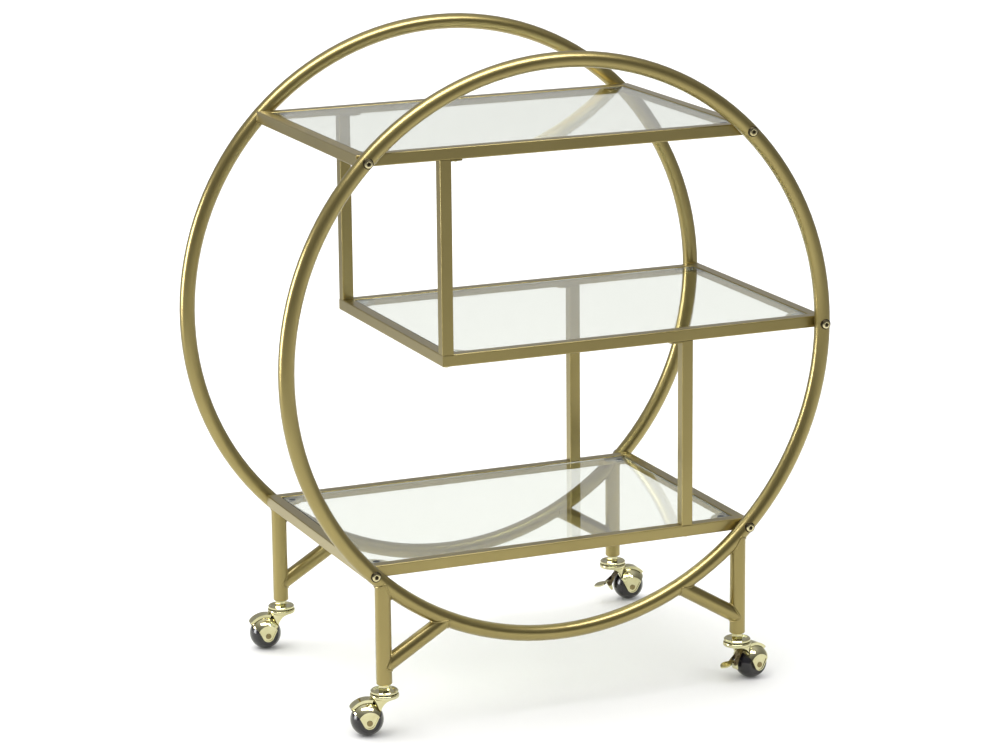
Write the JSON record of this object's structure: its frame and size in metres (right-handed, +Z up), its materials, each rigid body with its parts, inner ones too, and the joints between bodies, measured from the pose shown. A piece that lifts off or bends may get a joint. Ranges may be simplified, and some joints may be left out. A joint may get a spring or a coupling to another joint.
{
  "type": "bar cart",
  "caption": "Bar cart with round tube rings front and back, glass shelves at staggered widths between them, and hooded swivel ball casters.",
  "frame": {"origin": "on the floor under the middle of the cart, midway between the two rings and below their centres", "axes": "+X along the shelves towards the end where the middle shelf meets the rings and the casters have brakes, +Y from the front ring to the back ring, +Z up"},
  "size_m": [0.7439, 0.4213, 0.8339],
  "materials": {
    "frame_paint": "satin brass-coloured paint",
    "shelf_glass": "clear",
    "clear_pads": "clear soft plastic",
    "hidden_steel": "plain",
    "bolt_brass": "bright",
    "caster_brass": "polished",
    "caster_steel": "dark bronze tint",
    "wheel_black": "glossy"
  },
  "bodies": {
    "frame": {"front_ring": "frame_paint", "back_ring": "frame_paint", "leg_front_left": "frame_paint", "brace_front_left": "frame_paint", "leg_front_right": "frame_paint", "brace_front_right": "frame_paint", "leg_back_left": "frame_paint", "brace_back_left": "frame_paint", "leg_back_right": "frame_paint", "brace_back_right": "frame_paint", "leg_plugs": "hidden_steel", "top_front_rail": "frame_paint", "top_back_rail": "frame_paint", "top_left_rail": "frame_paint", "top_right_rail": "frame_paint", "top_glass": "shelf_glass", "middle_front_rail": "frame_paint", "middle_back_rail": "frame_paint", "middle_left_rail": "frame_paint", "middle_right_rail": "frame_paint", "middle_glass": "shelf_glass", "bottom_front_rail": "frame_paint", "bottom_back_rail": "frame_paint", "bottom_left_rail": "frame_paint", "bottom_right_rail": "frame_paint", "bottom_glass": "shelf_glass", "glass_tabs": "frame_paint", "glass_pads": "clear_pads", "upper_front_post": "frame_paint", "upper_back_post": "frame_paint", "lower_front_post": "frame_paint", "lower_back_post": "frame_paint", "post_ears": "frame_paint", "post_plugs": "hidden_steel", "post_foot_bolts": "bolt_brass", "post_ear_screws": "bolt_brass", "ring_bolts": "bolt_brass", "rail_nuts": "hidden_steel", "caster_stems": "caster_brass", "caster_caps": "caster_brass", "race_balls": "hidden_steel"},
    "swivel_front_left": {"hood_front_left": "caster_brass", "axle_front_left": "caster_brass"},
    "wheel_front_left": {"wheel_front_left": "wheel_black"},
    "swivel_front_right": {"hood_front_right": "caster_brass", "axle_front_right": "caster_brass", "brake_bracket_front_right": "caster_steel", "brake_pin_front_right": "caster_steel"},
    "wheel_front_right": {"wheel_front_right": "wheel_black"},
    "brake_front_right": {"brake_lever_front_right": "caster_brass"},
    "swivel_back_left": {"hood_back_left": "caster_brass", "axle_back_left": "caster_brass"},
    "wheel_back_left": {"wheel_back_left": "wheel_black"},
    "swivel_back_right": {"hood_back_right": "caster_brass", "axle_back_right": "caster_brass", "brake_bracket_back_right": "caster_steel", "brake_pin_back_right": "caster_steel"},
    "wheel_back_right": {"wheel_back_right": "wheel_black"},
    "brake_back_right": {"brake_lever_back_right": "caster_brass"}
  },
  "joints": [
    {"name": "swivel_front_left", "type": "hinge", "parent": "frame", "child": "swivel_front_left", "pos_m": [-0.244, -0.19, 0.05], "axis": [0, 0, 1], "continuous": true},
    {"name": "roll_front_left", "type": "hinge", "parent": "swivel_front_left", "child": "wheel_front_left", "pos_m": [-0.26616, -0.18609, 0.02075], "axis": [-0.1736, -0.9848, 0], "continuous": true},
    {"name": "swivel_front_right", "type": "hinge", "parent": "frame", "child": "swivel_front_right", "pos_m": [0.244, -0.19, 0.05], "axis": [0, 0, 1], "continuous": true},
    {"name": "roll_front_right", "type": "hinge", "parent": "swivel_front_right", "child": "wheel_front_right", "pos_m": [0.26597, -0.18513, 0.02075], "axis": [-0.2164, 0.9763, 0], "continuous": true},
    {"name": "brake_front_right", "type": "hinge", "parent": "swivel_front_right", "child": "brake_front_right", "pos_m": [0.23814, -0.1913, 0.02475], "axis": [0.2164, -0.9763, 0], "range_deg": [0, 18]},
    {"name": "swivel_back_left", "type": "hinge", "parent": "frame", "child": "swivel_back_left", "pos_m": [-0.244, 0.19, 0.05], "axis": [0, 0, 1], "continuous": true},
    {"name": "roll_back_left", "type": "hinge", "parent": "swivel_back_left", "child": "wheel_back_left", "pos_m": [-0.26638, 0.19235, 0.02075], "axis": [-0.1045, -0.9945, 0], "continuous": true},
    {"name": "swivel_back_right", "type": "hinge", "parent": "frame", "child": "swivel_back_right", "pos_m": [0.244, 0.19, 0.05], "axis": [0, 0, 1], "continuous": true},
    {"name": "roll_back_right", "type": "hinge", "parent": "swivel_back_right", "child": "wheel_back_right", "pos_m": [0.26638, 0.18765, 0.02075], "axis": [0.1045, 0.9945, 0], "continuous": true},
    {"name": "brake_back_right", "type": "hinge", "parent": "swivel_back_right", "child": "brake_back_right", "pos_m": [0.23803, 0.19063, 0.02475], "axis": [-0.1045, -0.9945, 0], "range_deg": [0, 18]}
  ]
}
